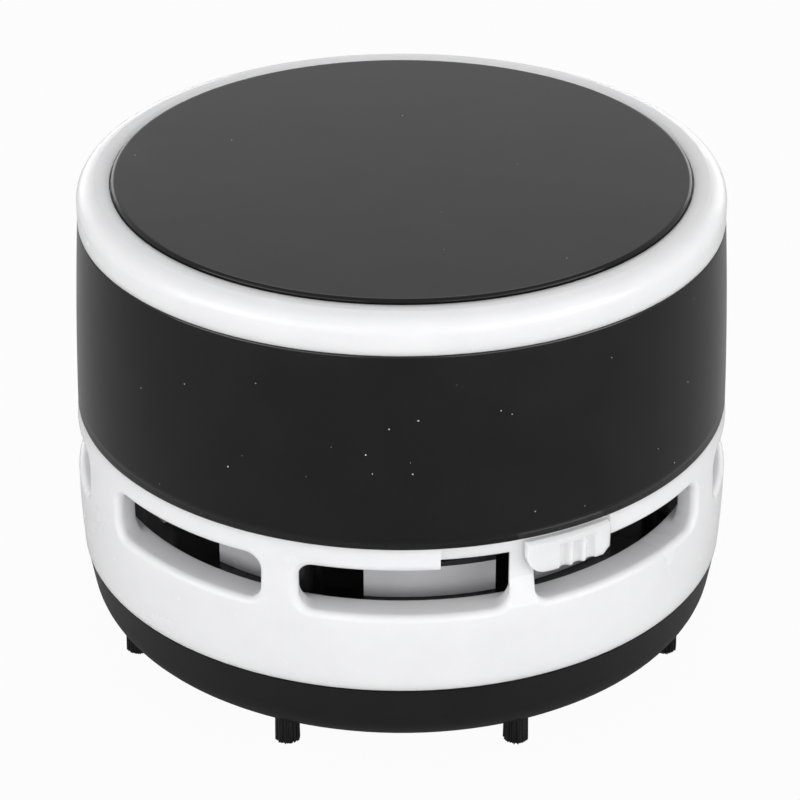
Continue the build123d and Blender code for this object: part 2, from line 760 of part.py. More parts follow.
with BuildPart() as bridge_contact:
    add(contact_plate(1, -cell_offset, 0))
    add(contact_plate(1, cell_offset, 0))
bridge_contact.part.label = "bridge_contact"

positive_contact = contact_plate(-1, cell_offset, tab_end)
positive_contact.label = "positive_contact"
negative_contact = contact_plate(-1, -cell_offset, -tab_end)
negative_contact.label = "negative_contact"


def cell_spring(end, side):
    """Conical contact spring from its plate to the flat end of a cell."""
    rise = spring_length - spring_wire
    start = (end * (bay_end - spring_wire / 2), side, z_cell)
    with BuildPart(mode=Mode.PRIVATE) as coil:
        with BuildLine() as path:
            Helix(
                rise / spring_turns,
                rise,
                spring_radius,
                center=start,
                direction=(-end, 0, 0),
                cone_angle=-spring_cone,
            )
        with BuildSketch(Plane(origin=path.line @ 0, z_dir=path.line % 0)):
            Circle(spring_wire / 2)
        sweep(is_frenet=True)
    return coil.part


contact_springs = Compound(children=[cell_spring(-1, -cell_offset), cell_spring(1, cell_offset)])
contact_springs.label = "contact_springs"

# ---- Fasteners ----
body_screw = screw(z_floor_top + screw_grip - z_cover - slip_gap, up=True)
with BuildPart() as body_screws:
    with Locations(*[around(column_circle, azimuth, z_cover) for azimuth in column_azimuths]):
        add(body_screw)
body_screws.part.label = "body_screws"

tray_screw = screw(strap + plate + screw_grip - slip_gap, up=False)
with BuildPart() as tray_screws:
    with Locations((-post_offset, 0, z_cell + strap), (post_offset, 0, z_cell + strap)):
        add(tray_screw)
tray_screws.part.label = "tray_screws"

# ---- Switch: grooved knob with neck and shoe, its blade, and two strips under the frame ----
def lower_corners(block):
    """The radial edges at a bent block's lower end, from left to right."""
    return block.edges().group_by(Axis.Z)[0].filter_by(GeomType.LINE).sort_by(Axis.X)


with BuildPart() as switch_knob:
    with BuildSketch(Plane.XZ.rotated((0, 0, knob_from))):
        with BuildLine():
            Polyline(
                (knob_back, z_knob),
                (knob_face, z_knob),
                (knob_face, z_knob + knob_height - knob_slope),
                (knob_face - knob_lean, z_knob + knob_height),
                (knob_back, z_knob + knob_height),
                close=True,
            )
        make_face()
    revolve(axis=Axis.Z, revolution_arc=knob_arc)
    chamfer(lower_corners(switch_knob)[-1], length=knob_chamfer)
    fillet(lower_corners(switch_knob)[0], radius=knob_round)
    groove_circle = knob_face + groove_radius - groove_depth
    with BuildSketch(Plane.XY.offset(z_knob)):
        with Locations(*[around(groove_circle, azimuth, 0) for azimuth in groove_azimuths]):
            Circle(groove_radius)
    extrude(amount=groove_height, mode=Mode.SUBTRACT)
    add(sector(shoe_face - shoe_depth / 2, knob_back + glide_gap, z_neck, z_neck_top, neck_from, neck_to))
    add(sector(shoe_face - shoe_depth, shoe_face, z_shoe, z_shoe_top, shoe_from, neck_to))
switch_knob.part.label = "switch_knob"

with BuildPart() as switch_bridge:
    add(sector(shoe_face - blade_width, shoe_face, z_shoe_top, z_shoe_top + blade, shoe_from, bridge_to))
switch_bridge.part.label = "switch_bridge"

with BuildPart() as switch_strips:
    for start, stop in strip_arcs:
        inner, outer = strip_circle - strip_width / 2, strip_circle + strip_width / 2
        add(sector(inner, outer, z_floor - blade, z_floor, start, stop))
switch_strips.part.label = "switch_strips"

# ---- Leads: contact to motor, contact to switch, switch to motor ----
def lead(points):
    """A covered wire along straight runs with rounded corners."""
    bends = [lead_bend] * (len(points) - 2)
    with BuildPart(mode=Mode.PRIVATE) as wire:
        with BuildLine() as path:
            FilletPolyline(*points, radius=bends)
        with BuildSketch(Plane(origin=path.line @ 0, z_dir=path.line % 0)):
            Circle(lead_radius)
        sweep()
    return wire.part


tab_face = -bay_end
terminal_z = z_motor + terminal_height / 2
outside_sleeve = motor_radius + seat_gap + rib + lead_bend
left_strip = around(strip_circle, strip_holes[0], z_floor)
right_strip = around(strip_circle, strip_holes[1], z_floor)
z_under = z_floor_top + lead_bend + lead_radius

lead_black = lead([
    (tab_face, -lead_hole_y, tab_z),
    (-lead_hole_x, -lead_hole_y, tab_z),
    (-outside_sleeve, -terminal_offset, terminal_z),
    (-terminal_width / 2, -terminal_offset, terminal_z),
])
lead_black.label = "lead_black"

lead_red = lead([
    (tab_face, lead_hole_y, tab_z),
    (-lead_hole_x, lead_hole_y, tab_z),
    (-lead_hole_x, lead_hole_y, z_under),
    (-outside_sleeve, -outside_sleeve, z_under),
    (left_strip[0], left_strip[1], z_under),
    left_strip,
])
lead_red.label = "lead_red"

lead_switch = lead([
    right_strip,
    (right_strip[0], right_strip[1], z_under),
    (lead_hole_x, -outside_sleeve, z_under),
    (lead_hole_x, lead_hole_y, z_under),
    (lead_hole_x, lead_hole_y, tab_z),
    (outside_sleeve, terminal_offset, terminal_z),
    (terminal_width / 2, terminal_offset, terminal_z),
])
lead_switch.label = "lead_switch"

# ---- Battery lid: white ring with collar and saddles, and the glossy disc let into it ----
with BuildPart() as lid_ring:
    with BuildSketch(Plane.XZ):
        with BuildLine():
            side = Line((band_top, z_lid), (band_top, z_crown - shoulder_round))
            shoulder = TangentArc(side @ 1, (band_top - shoulder_round, z_crown), tangent=(0, 1))
            crown = TangentArc(shoulder @ 1, (crown_radius, z_crown - crown_fall), tangent=(-1, 0))
            Polyline(
                crown @ 1,
                (crown_radius, z_disc),
                (0, z_disc),
                (0, z_web),
                (lid_bore - slip_gap - rib, z_web),
                (lid_bore - slip_gap - rib, z_lid - plug_depth),
                (lid_bore - slip_gap, z_lid - plug_depth),
                (lid_bore - slip_gap, z_lid),
                side @ 0,
            )
        make_face()
    revolve(axis=Axis.Z)
    with BuildSketch(Plane.YZ.offset(saddle_offset)):
        with Locations((-cell_offset, z_web - saddle_depth / 2), (cell_offset, z_web - saddle_depth / 2)):
            Rectangle(2 * cell_radius + rib, saddle_depth)
        with Locations((-cell_offset, z_cell), (cell_offset, z_cell)):
            Circle(trough_radius, mode=Mode.SUBTRACT)
    saddles = extrude(amount=rib)
    mirror(saddles, about=Plane.YZ)
lid_ring.part.label = "lid_ring"

with BuildPart() as top_disc:
    add(tube(0, disc_radius, z_disc, z_top))
    fillet(top_disc.edges().group_by(Axis.Z)[-1], radius=disc_edge)
top_disc.part.label = "top_disc"

# ---- One STEP file for each sub-part ----
sub_parts = [
    dust_pan.part,
    inlet_nozzle.part,
    brush_tufts.part,
    dust_seal.part,
    vent_ring.part,
    trim_band.part,
    inner_frame.part,
    fan_housing.part,
    fan_cover.part,
    filter_frame.part,
    filter_mesh.part,
    motor_can.part,
    motor_bushing.part,
    motor_end_cap.part,
    motor_terminals.part,
    motor_strap.part,
    battery_tray.part,
    front_cell,
    rear_cell,
    bridge_contact.part,
    positive_contact,
    negative_contact,
    contact_springs,
    body_screws.part,
    tray_screws.part,
    switch_strips.part,
    lead_black,
    lead_red,
    lead_switch,
    lid_ring.part,
    top_disc.part,
    switch_knob.part,
    switch_bridge.part,
    motor_shaft.part,
    impeller.part,
]
os.makedirs("parts", exist_ok=True)
for sub_part in sub_parts:
    export_step(sub_part, f"parts/{sub_part.label}.step")
print(f"knob travel {slide_arc:.3f} degrees")
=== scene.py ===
import json
import math
import random

import bmesh
import bpy
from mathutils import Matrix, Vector


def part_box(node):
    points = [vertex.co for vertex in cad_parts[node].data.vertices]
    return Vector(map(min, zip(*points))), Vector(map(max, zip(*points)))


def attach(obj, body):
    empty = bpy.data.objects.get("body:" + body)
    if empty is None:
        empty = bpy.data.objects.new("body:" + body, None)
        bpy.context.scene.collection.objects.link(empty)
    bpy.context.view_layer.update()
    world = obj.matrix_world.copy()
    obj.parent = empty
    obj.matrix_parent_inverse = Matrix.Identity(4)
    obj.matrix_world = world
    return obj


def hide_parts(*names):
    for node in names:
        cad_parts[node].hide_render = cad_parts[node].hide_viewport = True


# Desktop vacuum cleaner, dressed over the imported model.  Metres, +Z up, the switch faces -Y.
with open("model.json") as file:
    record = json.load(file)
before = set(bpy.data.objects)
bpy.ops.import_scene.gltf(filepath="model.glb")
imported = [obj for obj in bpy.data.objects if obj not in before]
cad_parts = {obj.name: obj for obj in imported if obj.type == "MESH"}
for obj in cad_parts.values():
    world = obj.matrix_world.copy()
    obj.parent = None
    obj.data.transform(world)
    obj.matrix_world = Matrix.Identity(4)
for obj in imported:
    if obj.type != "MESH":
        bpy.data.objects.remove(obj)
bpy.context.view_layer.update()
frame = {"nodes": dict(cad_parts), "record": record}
nodes = frame["nodes"]
MM = 0.001

# ---- Places read from the frame ----
tuft_low, tuft_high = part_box("brush_tufts")
band_low, band_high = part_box("trim_band")
vent_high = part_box("vent_ring")[1]
disc_low, disc_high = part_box("top_disc")
cell_low, cell_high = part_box("front_cell")

# ---- Camera: the photograph's viewing angle ----
camera_elevation = 28.74        # degrees above the horizon
camera_distance = 385.3 * MM
camera_target = Vector((0, 0, 28.9 * MM))
camera_lens = 133.66            # millimetres
camera_sensor = 36.0            # millimetres
camera_shift = (-0.002, 0.0012)  # shares of the frame's width
camera_near = 10 * MM           # nothing nearer than this is drawn

# ---- Light: a ring of soft lamps round the object ----
lamp_distance = 0.6
lamp_size = 0.35
lamps = (                       # name, azimuth and elevation in degrees, watts
    ("softbox_front_left", -30, 8, 0.90),
    ("softbox_front_right", 30, 8, 0.92),
    ("softbox_left", -62, 4, 1.55),
    ("softbox_right", 62, 4, 1.70),
    ("softbox_high_left", -58, 30, 0.24),
    ("softbox_high_right", 58, 30, 0.26),
    ("softbox_rear_left", -154, 8, 0.60),
    ("softbox_rear_right", 154, 8, 0.60),
    ("softbox_back", 180, 55, 0.70),
)
sky_light = 0.33                # how strongly the white surroundings light the object
sky_seen = 1.0                  # how bright they show, also in reflections
floor_half = 1.5                # half the floor's width
floor_level = 0.46              # grey that the floor lights the object with
floor_white = 0.96              # share of plain white that the camera sees on it, the rest keeps the shadow

# ---- Round pieces that are turned anew, as the part has them ----
turned_segments = 240
sharp_angle = math.radians(30)  # edges that bend by more stay sharp
rounding_steps = 8              # facets over a rounded corner
disc_edge = 0.5 * MM            # rounding of the top disc's rim
disc_flat = 1.2 * disc_edge     # from the rim to the ring of points that keeps the flat top flat
band_edge = 0.35 * MM           # rounding of the trim band's upper edge
band_step = 0.4 * MM            # how far the band's foot stands back from the vent ring
band_foot = vent_high.x - band_step
band_inset = 1.15 * MM          # how much the band narrows over its height
band_bulge = 0.15 * MM          # how far its side swells off a straight line
band_wall = 1.5 * MM
band_steps = 16                 # facets over the band's height

# ---- Fan housing: where its moulding shows grey and where painted shade darkens it to black ----
panel_radius = 34.6 * MM        # outer face of the fan housing's wall
panel_foot = 20.8 * MM          # top of the ring that joins the wall's panels
panel_head = 25.0 * MM          # where painted shade along their upper edge begins
face_margin = 0.1 * MM          # the painted shade begins this far outside the wall's face
foot_margin = 0.05 * MM         # and ends this far above the ring's top
column_azimuths = (-110.6, -24.65, 66.95, 159.15)
column_circle = 35.4 * MM
column_reach = 3.4 * MM         # painted shade blackens the wall within this distance of a column's middle

# ---- Battery cells along X: where the jacket's colours change, from the cell's ends ----
cell_cap = 14 * MM              # copper sleeve at the plus end
cell_line = 14.6 * MM           # middle of the pale line beside it
cell_line_half = 0.25 * MM
cell_face = 1.35 * MM           # bare steel at the plus end
cell_foot = 0.35 * MM           # bare steel at the minus end

# ---- Bristle tufts, as the part holds them ----
tuft_count = 8
tuft_radius = 1.62 * MM
tuft_circle = ((tuft_high.x - tuft_low.x) / 2 - tuft_radius) / math.cos(math.pi / tuft_count)
tuft_waist = 0.93               # width of a bundle at its head, as a share of its foot
bristles_per_tuft = 260
bristle_sides = 6
bristle_radius = 0.10 * MM
bristle_taper = 0.9             # width of a bristle's end, as a share of the rest
bristle_edge = 1.3 * bristle_radius     # from the bundle's outline to its outermost bristles' middles
bristle_jitter = 0.04 * MM
bristle_spread = 1.5            # how much more the feet stray than the heads
bristle_uneven = 0.07 * MM      # how far the cut ends differ in length
bristle_seed = 7
golden_angle = math.pi * (3 - math.sqrt(5))

# ---- Finishes: sizes of their patterns ----
mottle_size = 9 * MM            # faint clouds in a moulded piece's colour
mark_size = 0.7 * MM            # handling marks on it
wave_size = 6 * MM              # gentle unevenness of its faces
wave_depth = 0.012 * MM
tarnish_size = 4 * MM           # clouds of tarnish on metal
line_size = 0.12 * MM           # fine lines in metal
line_depth = 0.003 * MM
speck_spacing = 2.4 * MM        # grid that the specks of dust are drawn from
speck_size = 0.10 * MM          # radius of the largest
speck_least = 0.4               # radius of the smallest, as a share of that
weave = 0.8906 * MM             # pitch of the filter cloth's threads
weave_depth = 0.06 * MM
weave_wander = 0.3              # how much its threads stray
dust_size = 7 * MM              # patches of dust on the cloth


# ---------------------------------------------------------------- materials
class Finish:
    """One procedural material round a Principled BSDF, in object coordinates."""

    def __init__(self, name, **constants):
        self.material = bpy.data.materials.new(name)
        self.material.use_nodes = True
        self.tree = self.material.node_tree
        self.shader = self.tree.nodes["Principled BSDF"]
        for socket, value in constants.items():
            self.shader.inputs[socket.replace("_", " ")].default_value = value
        self.place = self.tree.nodes.new("ShaderNodeTexCoord").outputs["Object"]

    def node(self, kind, **settings):
        """A node with its properties set."""
        made = self.tree.nodes.new(kind)
        for setting, value in settings.items():
            setattr(made, setting, value)
        return made

    def feed(self, socket, value):
        """Links a socket to an output, or sets it to a constant."""
        if isinstance(value, bpy.types.NodeSocket):
            self.tree.links.new(value, socket)
        else:
            socket.default_value = value

    def noise(self, scale, detail=3.0, roughness=0.55, place=None):
        """Soft noise from 0 to 1."""
        made = self.node("ShaderNodeTexNoise")
        self.feed(made.inputs["Vector"], place or self.place)
        self.feed(made.inputs["Scale"], scale)
        self.feed(made.inputs["Detail"], detail)
        self.feed(made.inputs["Roughness"], roughness)
        return made.outputs["Fac"]

    def stretched(self, x, y, z):
        """Object coordinates scaled along each axis."""
        made = self.node("ShaderNodeMapping")
        self.feed(made.inputs["Vector"], self.place)
        made.inputs["Scale"].default_value = (x, y, z)
        return made.outputs["Vector"]

    def axis(self, name):
        """One object coordinate."""
        made = self.node("ShaderNodeSeparateXYZ")
        self.feed(made.inputs[0], self.place)
        return made.outputs[name]

    def reach(self, x=0.0, y=0.0):
        """Distance from a vertical axis through x, y."""
        made = self.node("ShaderNodeVectorMath", operation="DISTANCE")
        self.feed(made.inputs[0], self.stretched(1, 1, 0))
        made.inputs[1].default_value = (x, y, 0)
        return made.outputs["Value"]

    def remap(self, value, low, high, to_low=0.0, to_high=1.0):
        """Maps low..high to to_low..to_high, clamped."""
        made = self.node("ShaderNodeMapRange")
        self.feed(made.inputs["Value"], value)
        self.feed(made.inputs["From Min"], low)
        self.feed(made.inputs["From Max"], high)
        self.feed(made.inputs["To Min"], to_low)
        self.feed(made.inputs["To Max"], to_high)
        return made.outputs["Result"]

    def math(self, operation, first, second=0.0):
        """Arithmetic on one or two values."""
        made = self.node("ShaderNodeMath", operation=operation)
        self.feed(made.inputs[0], first)
        self.feed(made.inputs[1], second)
        return made.outputs[0]

    def blend(self, factor, first, second):
        """Mixes two colours."""
        made = self.node("ShaderNodeMix", data_type="RGBA")
        self.feed(made.inputs["Factor"], factor)
        self.feed(made.inputs["A"], first)
        self.feed(made.inputs["B"], second)
        return made.outputs["Result"]

    def specks(self, share):
        """Small dots on a share of the cells of a Voronoi pattern, 1 inside a dot."""
        cells = self.node("ShaderNodeTexVoronoi")
        self.feed(cells.inputs["Vector"], self.place)
        self.feed(cells.inputs["Scale"], 1 / speck_spacing)
        chance = self.node("ShaderNodeSeparateColor")
        self.feed(chance.inputs[0], cells.outputs["Color"])
        there = self.math("LESS_THAN", chance.outputs[0], share)
        largest = speck_size / speck_spacing
        reach = self.remap(chance.outputs[1], 0.0, 1.0, speck_least * largest, largest)
        inside = self.math("LESS_THAN", cells.outputs["Distance"], reach)
        return self.math("MULTIPLY", there, inside)

    def bump(self, height, depth):
        """Raises the surface by height, from 0 to 1, times depth in metres."""
        made = self.node("ShaderNodeBump")
        self.feed(made.inputs["Height"], height)
        made.inputs["Distance"].default_value = depth
        before = self.shader.inputs["Normal"]
        if before.links:
            self.feed(made.inputs["Normal"], before.links[0].from_socket)
        self.feed(before, made.outputs["Normal"])

    def colour(self, value):
        """Sets the base colour to an output or a constant."""
        self.feed(self.shader.inputs["Base Color"], value)

    def roughness(self, value):
        """Sets the roughness to an output or a constant."""
        self.feed(self.shader.inputs["Roughness"], value)


def grey(level, blue=0.0):
    """A neutral linear colour, or one that leans to blue."""
    return (level, level, level * (1 + blue), 1.0)


def moulded(name, colour, shade, gloss, grain=0.004 * MM, grain_size=0.25 * MM, **constants):
    """Injection-moulded plastic: faint mottling, uneven gloss, handling marks and a fine grain."""
    finish = Finish(name, **constants)
    mottle = finish.noise(1 / mottle_size, 4.0)
    finish.colour(finish.blend(finish.remap(mottle, 0.35, 0.65), colour, shade))
    marks = finish.noise(1 / mark_size, 5.0, 0.7, finish.stretched(1.0, 1.0, 0.35))
    finish.roughness(
        finish.math(
            "ADD",
            finish.remap(mottle, 0.3, 0.7, gloss[0], gloss[1]),
            finish.remap(marks, 0.62, 0.75, 0.0, 0.06),
        )
    )
    finish.bump(finish.noise(1 / grain_size, 2.0), grain)
    finish.bump(finish.noise(1 / wave_size, 2.0), wave_depth)
    return finish


def metal(name, colour, shade, gloss, lines):
    """Plated or ground metal: fine lines, cloudy tarnish and small stains."""
    finish = Finish(name, Metallic=1.0)
    cloud = finish.noise(1 / tarnish_size, 5.0, 0.65)
    finish.colour(finish.blend(finish.remap(cloud, 0.35, 0.7), colour, shade))
    brushed = finish.noise(1 / line_size, 3.0, 0.6, finish.stretched(*lines))
    finish.roughness(
        finish.math(
            "ADD",
            finish.remap(brushed, 0.3, 0.7, gloss[0], gloss[1]),
            finish.remap(cloud, 0.55, 0.8, 0.0, 0.12),
        )
    )
    finish.bump(brushed, line_depth)
    return finish


def gloss_white():
    """White gloss plastic, which light enters a little."""
    return moulded(
        "gloss_white",
        grey(0.90, 0.014),
        grey(0.87, 0.02),
        (0.20, 0.28),
        Specular_IOR_Level=0.3,
        Subsurface_Weight=0.75,
        Subsurface_Scale=1.8 * MM,
        Subsurface_Radius=(1.0, 0.98, 1.0),
    )


def gloss_black(name, level, gloss, dusty):
    """High-gloss black with specks of dust on it; dusty is the share of the places that hold one."""
    finish = moulded(name, grey(0.004), grey(0.006), gloss, grain=0.001 * MM, Specular_IOR_Level=level)
    dust = finish.specks(dusty)
    under = finish.shader.inputs["Base Color"].links[0].from_socket
    finish.colour(finish.blend(dust, under, grey(0.55)))
    return finish


def satin_black():
    """Satin black with a fine, even grain."""
    return moulded(
        "satin_black",
        grey(0.006),
        grey(0.008),
        (0.36, 0.44),
        grain=0.010 * MM,
        grain_size=0.18 * MM,
        Specular_IOR_Level=0.31,
    )


def bristle():
    """Nylon bristles, paler towards their cut ends at the bottom."""
    finish = Finish("bristle")
    height = finish.axis("Z")
    streak = finish.noise(1 / (0.25 * MM), 3.0, 0.6, finish.stretched(1.0, 1.0, 0.1))
    dark = finish.blend(finish.remap(streak, 0.3, 0.7), grey(0.003), grey(0.006))
    # paler within 0.4 mm of the bristles' lower ends
    finish.colour(finish.blend(finish.remap(height, 0.4 * MM, 0.0, 0.0, 0.5), dark, grey(0.015)))
    finish.roughness(finish.remap(streak, 0.3, 0.7, 0.32, 0.5))
    return finish


def seal_rubber():
    """Soft black rubber."""
    look = grey(0.030), grey(0.042), (0.62, 0.75)
    return moulded("seal_rubber", *look, grain=0.012 * MM, grain_size=0.3 * MM)


def inner_white():
    """Plain white plastic inside the body."""
    return moulded("inner_white", grey(0.74, 0.01), grey(0.69, 0.02), (0.42, 0.52), grain=0.006 * MM)


def fan_grey():
    """Grey gloss plastic of the filter's frame."""
    return moulded("fan_grey", grey(0.50, 0.04), grey(0.45, 0.05), (0.26, 0.34), grain=0.003 * MM)


def panel_grey_with_painted_shade():
    """Fan housing: grey gloss panels, with painted shade that turns their foot ring, columns and upper edge
    black.
    """
    finish = moulded("panel_grey_with_painted_shade", grey(0.50, 0.04), grey(0.45, 0.05), (0.20, 0.30), grain=0.003 * MM)
    height = finish.axis("Z")
    # painted shade: near-black outside the wall's face, on the foot ring, along the upper edge and round each
    # column, where the housing lies in shadow
    black = finish.math("GREATER_THAN", finish.reach(), panel_radius + face_margin)
    black = finish.math("MAXIMUM", black, finish.math("LESS_THAN", height, panel_foot + foot_margin))
    black = finish.math("MAXIMUM", black, finish.math("GREATER_THAN", height, panel_head))
    for azimuth in column_azimuths:
        turn = math.radians(azimuth)
        beside = finish.reach(column_circle * math.cos(turn), column_circle * math.sin(turn))
        black = finish.math("MAXIMUM", black, finish.math("LESS_THAN", beside, column_reach))
    under = finish.shader.inputs["Base Color"].links[0].from_socket
    finish.colour(finish.blend(black, under, grey(0.006)))
    return finish


def filter_cloth():
    """Fine woven filter cloth, browner where dust has settled."""
    finish = Finish("filter_cloth", Sheen_Weight=0.3)
    waves = []
    for direction in ("X", "Y"):
        wave = finish.node("ShaderNodeTexWave", bands_direction=direction)
        finish.feed(wave.inputs["Vector"], finish.place)
        wave.inputs["Scale"].default_value = math.pi / (10 * weave)     # Blender's waves repeat every pi / 10
        wave.inputs["Distortion"].default_value = weave_wander
        waves.append(wave.outputs["Fac"])
    threads = finish.math("MAXIMUM", waves[0], waves[1])
    dust = finish.noise(1 / dust_size, 4.0)
    pale = finish.blend(threads, grey(0.42), grey(0.74, 0.02))
    finish.colour(finish.blend(finish.remap(dust, 0.5, 0.75, 0.0, 0.5), pale, (0.36, 0.33, 0.29, 1.0)))
    finish.roughness(finish.remap(threads, 0.0, 1.0, 0.95, 0.75))
    finish.bump(threads, weave_depth)
    return finish


def cell_jacket(way):
    """Shrink jacket of an AA cell along X; way is 1 with its plus end at +X."""
    finish = Finish("cell_jacket_plus_right" if way > 0 else "cell_jacket_plus_left")
    along = finish.math("MULTIPLY", finish.axis("X"), way)
    minus_end = cell_low.x
    plus_end = cell_high.x
    mottle = finish.noise(1 / (5 * MM), 4.0)
    body = finish.blend(mottle, (0.012, 0.05, 0.035, 1), (0.018, 0.065, 0.045, 1))
    copper = finish.blend(mottle, (0.50, 0.23, 0.09, 1), (0.42, 0.19, 0.08, 1))
    steel = finish.blend(mottle, grey(0.60), grey(0.50))
    cap = finish.math("GREATER_THAN", along, plus_end - cell_cap)
    face = finish.math("GREATER_THAN", along, plus_end - cell_face)
    foot = finish.math("LESS_THAN", along, minus_end + cell_foot)
    line = finish.math("COMPARE", along, plus_end - cell_line)
    line.node.inputs[2].default_value = cell_line_half
    ends = finish.math("MAXIMUM", face, foot)
    jacket = finish.blend(line, finish.blend(cap, body, copper), grey(0.7))
    finish.colour(finish.blend(ends, jacket, steel))
    shiny = finish.math("MAXIMUM", ends, finish.math("MULTIPLY", cap, 0.6))
    finish.feed(finish.shader.inputs["Metallic"], shiny)
    finish.roughness(finish.remap(finish.noise(1 / (1.5 * MM), 4.0), 0.3, 0.7, 0.22, 0.36))
    finish.bump(finish.noise(1 / (1.2 * MM), 3.0), 0.008 * MM)
    return finish


def wire_cover(name, colour, shade):
    """Soft PVC cover of a wire."""
    return moulded(name, colour, shade, (0.34, 0.46), grain=0.004 * MM, grain_size=0.4 * MM)


def impeller_black():
    """Moulded fan wheel with a film of dust on it."""
    finish = moulded("impeller_black", grey(0.012), grey(0.016), (0.32, 0.42), grain=0.006 * MM)
    film = finish.remap(finish.noise(1 / (2.5 * MM), 6.0, 0.7), 0.5, 0.8, 0.0, 0.12)
    under = finish.shader.inputs["Base Color"].links[0].from_socket
    finish.colour(finish.blend(film, under, grey(0.30)))
    return finish


finishes = {
    "gloss_white": gloss_white(),
    "gloss_black": gloss_black("gloss_black", level=0.37, gloss=(0.15, 0.20), dusty=0.9),
    "satin_black": satin_black(),
    "bristle": bristle(),
    "seal_rubber": seal_rubber(),
    "inner_white": inner_white(),
    "fan_grey": fan_grey(),
    "filter_cloth": filter_cloth(),
    "lead_black": wire_cover("lead_black", grey(0.014), grey(0.02)),
    "lead_red": wire_cover("lead_red", (0.42, 0.012, 0.010, 1), (0.36, 0.010, 0.010, 1)),
    "impeller_black": impeller_black(),
}
metals = (                      # name, colour, tarnish, gloss, how its fine lines are drawn out
    ("can_steel", (0.60, 0.60, 0.58, 1), (0.48, 0.48, 0.46, 1), (0.24, 0.38), (1, 1, 8)),
    ("sheet_steel", (0.66, 0.65, 0.62, 1), (0.55, 0.53, 0.49, 1), (0.2, 0.34), (1, 8, 8)),
    ("spring_steel", (0.64, 0.62, 0.58, 1), (0.50, 0.48, 0.44, 1), (0.2, 0.32), (1, 1, 1)),
    ("screw_steel", (0.52, 0.52, 0.51, 1), (0.36, 0.35, 0.33, 1), (0.28, 0.42), (1, 1, 1)),
    ("shaft_steel", (0.60, 0.60, 0.60, 1), (0.50, 0.50, 0.49, 1), (0.14, 0.24), (1, 1, 12)),
    ("bronze", (0.72, 0.50, 0.24, 1), (0.50, 0.32, 0.15, 1), (0.24, 0.38), (1, 1, 1)),
)
for name, *look in metals:
    finishes[name] = metal(name, *look)
own_finish = {
    "front_cell": cell_jacket(1),
    "rear_cell": cell_jacket(-1),
    "top_disc": gloss_black("gloss_black_disc", level=0.18, gloss=(0.08, 0.13), dusty=0.15),
    "fan_housing": panel_grey_with_painted_shade(),
}
for name, node in nodes.items():
    slot = next(part["material_slot"] for part in frame["record"]["subparts"] if part["node"] == name)
    finish = own_finish.get(name) or finishes[slot]
    for index in range(len(node.material_slots)):
        node.material_slots[index].material = finish.material


# ---------------------------------------------------------------- bristle tufts
def add_bristle(mesh, foot, head, radius):
    """A bristle between two points, thinner at its foot, which is cut square."""
    rings = []
    turns = [math.tau * side / bristle_sides for side in range(bristle_sides)]
    outline = [Vector((math.cos(turn), math.sin(turn), 0)) for turn in turns]
    for centre, size in ((head, radius), ((foot + head) / 2, radius), (foot, radius * bristle_taper)):
        rings.append([mesh.verts.new(centre + size * corner) for corner in outline])
    for upper, lower in zip(rings, rings[1:]):
        for side in range(bristle_sides):
            after = (side + 1) % bristle_sides
            mesh.faces.new((upper[side], lower[side], lower[after], upper[after]))
    mesh.faces.new(rings[-1][::-1])
    mesh.faces.new(rings[0])


def bristle_tuft(index, draw):
    """One bundle of bristles on the tuft circle, packed as a sunflower's seeds."""
    azimuth = math.radians(-90 + 360 / tuft_count * (index + 0.5))
    centre = tuft_circle * Vector((math.cos(azimuth), math.sin(azimuth), 0))
    mesh = bmesh.new()
    for number in range(bristles_per_tuft):
        share = math.sqrt((number + 0.5) / bristles_per_tuft)
        turn = golden_angle * number
        across = Vector((math.cos(turn), math.sin(turn), 0)) * share
        jitter = Vector((draw.uniform(-1, 1), draw.uniform(-1, 1), 0)) * bristle_jitter
        head = centre + across * (tuft_waist * tuft_radius - bristle_edge) + jitter
        foot = centre + across * (tuft_radius - bristle_edge) + bristle_spread * jitter
        head.z = tuft_high.z
        foot.z = tuft_low.z
        if number:              # the first one stays at full length, so that the tuft stands on the floor
            foot.z += draw.uniform(0.0, bristle_uneven)
        add_bristle(mesh, foot, head, bristle_radius)
    data = bpy.data.meshes.new(f"bristle_tuft_{index + 1}")
    mesh.to_mesh(data)
    mesh.free()
    piece = bpy.data.objects.new(data.name, data)
    bpy.context.scene.collection.objects.link(piece)
    data.materials.append(finishes["bristle"].material)
    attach(piece, "dust_box")
    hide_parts("brush_tufts")


draw = random.Random(bristle_seed)
for index in range(tuft_count):
    bristle_tuft(index, draw)


# ---------------------------------------------------------------- turned pieces
def rounded(radius, height, edge):
    """An outline's rounded upper corner, from its side at radius to its top at height."""
    turns = [math.pi / 2 * step / rounding_steps for step in range(rounding_steps + 1)]
    return [(radius - edge + edge * math.cos(t), height - edge + edge * math.sin(t)) for t in turns]


def turned(name, profile, node, body, finish, hollow):
    """A round piece turned from (radius, height) points, which replaces a node."""
    angles = [math.tau * index / turned_segments for index in range(turned_segments)]
    mesh = bmesh.new()
    rings = [
        [mesh.verts.new((radius * math.cos(a), radius * math.sin(a), height)) for a in angles]
        for radius, height in profile
    ]
    followers = rings[1:] + rings[:1] if hollow else rings[1:]
    for lower, upper in zip(rings, followers):
        for index in range(turned_segments):
            after = (index + 1) % turned_segments
            mesh.faces.new((lower[index], lower[after], upper[after], upper[index])).smooth = True
    if not hollow:
        mesh.faces.new(rings[-1])
        mesh.faces.new(rings[0][::-1])
    for edge in mesh.edges:
        edge.smooth = edge.calc_face_angle() < sharp_angle
    data = bpy.data.meshes.new(name)
    mesh.to_mesh(data)
    mesh.free()
    piece = bpy.data.objects.new(name, data)
    bpy.context.scene.collection.objects.link(piece)
    data.materials.append(finish.material)
    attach(piece, body)
    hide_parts(node)


def top_disc():
    """The glossy disc, with a finely rounded rim."""
    radius, top = disc_high.x, disc_high.z
    profile = [(radius, disc_low.z)] + rounded(radius, top, disc_edge) + [(radius - disc_flat, top)]
    turned("disc", profile, "top_disc", "battery_lid", own_finish["top_disc"], hollow=False)


